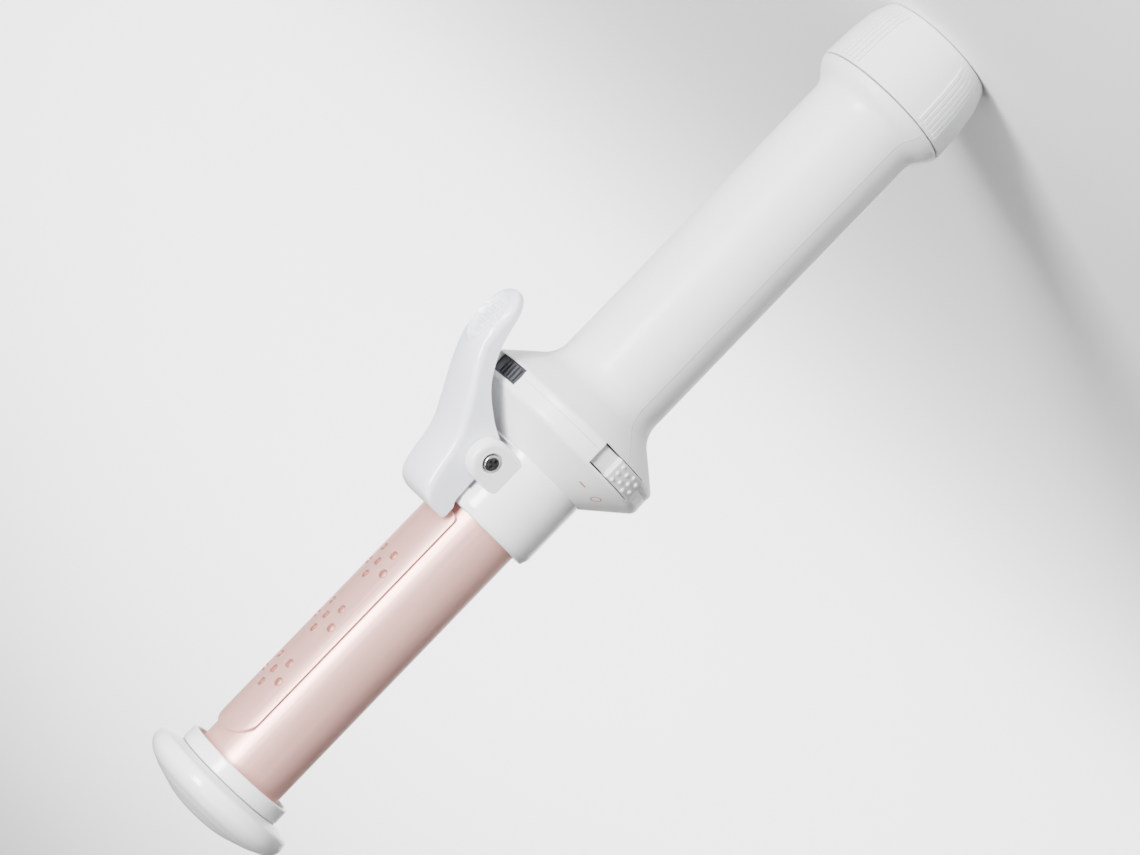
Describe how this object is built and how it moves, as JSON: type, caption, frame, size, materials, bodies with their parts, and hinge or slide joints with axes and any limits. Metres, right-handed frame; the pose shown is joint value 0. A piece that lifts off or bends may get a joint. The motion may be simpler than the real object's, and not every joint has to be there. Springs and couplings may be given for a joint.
{
  "type": "curling iron",
  "caption": "Cordless gas-heated curling iron: round barrel with a sprung clamp and thumb lever, flared hand guard, slide switch, igniter slide and twist-off end cap.",
  "frame": {"origin": "centre of the flat end face of the cap that the iron stands on", "axes": "+Z along the barrel towards the cool tip, +X towards the thumb lever and clamp"},
  "size_m": [0.0676, 0.0542, 0.2705],
  "materials": {
    "white_satin": "satin moulded ABS, white",
    "white_gloss": "gloss moulded plastic, white",
    "white_cap": "satin moulded plastic, cool white",
    "dark_plastic": "dark grey moulded plastic",
    "rose_metal": "rose-gold anodised satin",
    "chrome": "bright plated steel",
    "steel": "plain spring or tube steel",
    "aluminium": "bare extruded or drawn aluminium",
    "brass": "machined brass",
    "rubber": "black nitrile",
    "ceramic": "heat-resistant moulding, off-white",
    "mech_plastic": "grey acetal, inner mechanism",
    "piezo": "blue-black moulded body"
  },
  "bodies": {
    "handle": {"barrel": "rose_metal", "bayonet_ring": "mech_plastic", "cartridge_seal": "rubber", "cartridge_valve": "steel", "catalyst_burner": "ceramic", "collar": "white_gloss", "detent_spring": "steel", "electrode": "steel", "front_housing": "white_satin", "gas_cartridge": "aluminium", "handle_shell_front": "white_satin", "handle_shell_rear": "white_satin", "heat_core": "aluminium", "ignition_lead": "rubber", "ignition_spring": "steel", "insulating_bush": "ceramic", "jet_holder": "brass", "jet_nozzle": "brass", "mixing_tube": "steel", "piezo_igniter": "piezo", "stem_seal": "rubber", "tip_cap": "white_gloss", "tip_plug": "ceramic", "tip_ring": "white_gloss", "tip_screw": "steel", "torsion_spring": "steel", "valve_guide": "mech_plastic", "valve_spring": "steel"},
    "clamp": {"thumb_lever": "white_gloss", "pivot_sleeve": "steel", "pivot_screws": "chrome", "clamp_plate": "rose_metal", "clamp_rivets": "steel"},
    "power_switch": {"power_slider": "white_satin", "cam_ring": "mech_plastic"},
    "valve_stem": {"valve_tube": "brass", "stem_pins": "steel"},
    "igniter_slide": {"ignition_slider": "dark_plastic"},
    "striker": {"piezo_plunger": "piezo"},
    "cap": {"end_cap": "white_cap", "cap_spring": "steel"}
  },
  "joints": [
    {"name": "clamp_hinge", "type": "hinge", "parent": "handle", "child": "clamp", "pos_m": [0.017, 0, 0.1561], "axis": [0, 1, 0], "range_deg": [0, 14], "stiffness_Nm_per_rad": 0.12, "springref_deg": -20.05, "deforming": ["torsion_spring"]},
    {"name": "power_switch_slide", "type": "hinge", "parent": "handle", "child": "power_switch", "pos_m": [0, 0, 0.136], "axis": [0, 0, 1], "range_deg": [0, 12]},
    {"name": "valve_lift", "type": "slide", "parent": "handle", "child": "valve_stem", "axis": [0, 0, -1], "range_m": [0, 0.0012], "deforming": ["valve_spring"]},
    {"name": "igniter_slide", "type": "hinge", "parent": "handle", "child": "igniter_slide", "pos_m": [0, 0, 0.136], "axis": [0, 0, 1], "range_deg": [0, 13], "stiffness_Nm_per_rad": 0.04, "springref_deg": -5.73, "deforming": ["ignition_spring"]},
    {"name": "striker_push", "type": "slide", "parent": "handle", "child": "striker", "axis": [0.2011, 0.9796, 0], "range_m": [0, 0.0033]},
    {"name": "cap_twist", "type": "hinge", "parent": "handle", "child": "cap", "pos_m": [0, 0, 0], "axis": [0, 0, 1], "range_deg": [0, 45]}
  ],
  "couplings": [
    {"joint": "valve_lift", "follows": "power_switch_slide", "m_per_rad": 0.00573},
    {"joint": "striker_push", "follows": "igniter_slide", "m_per_rad": 0.014324}
  ]
}
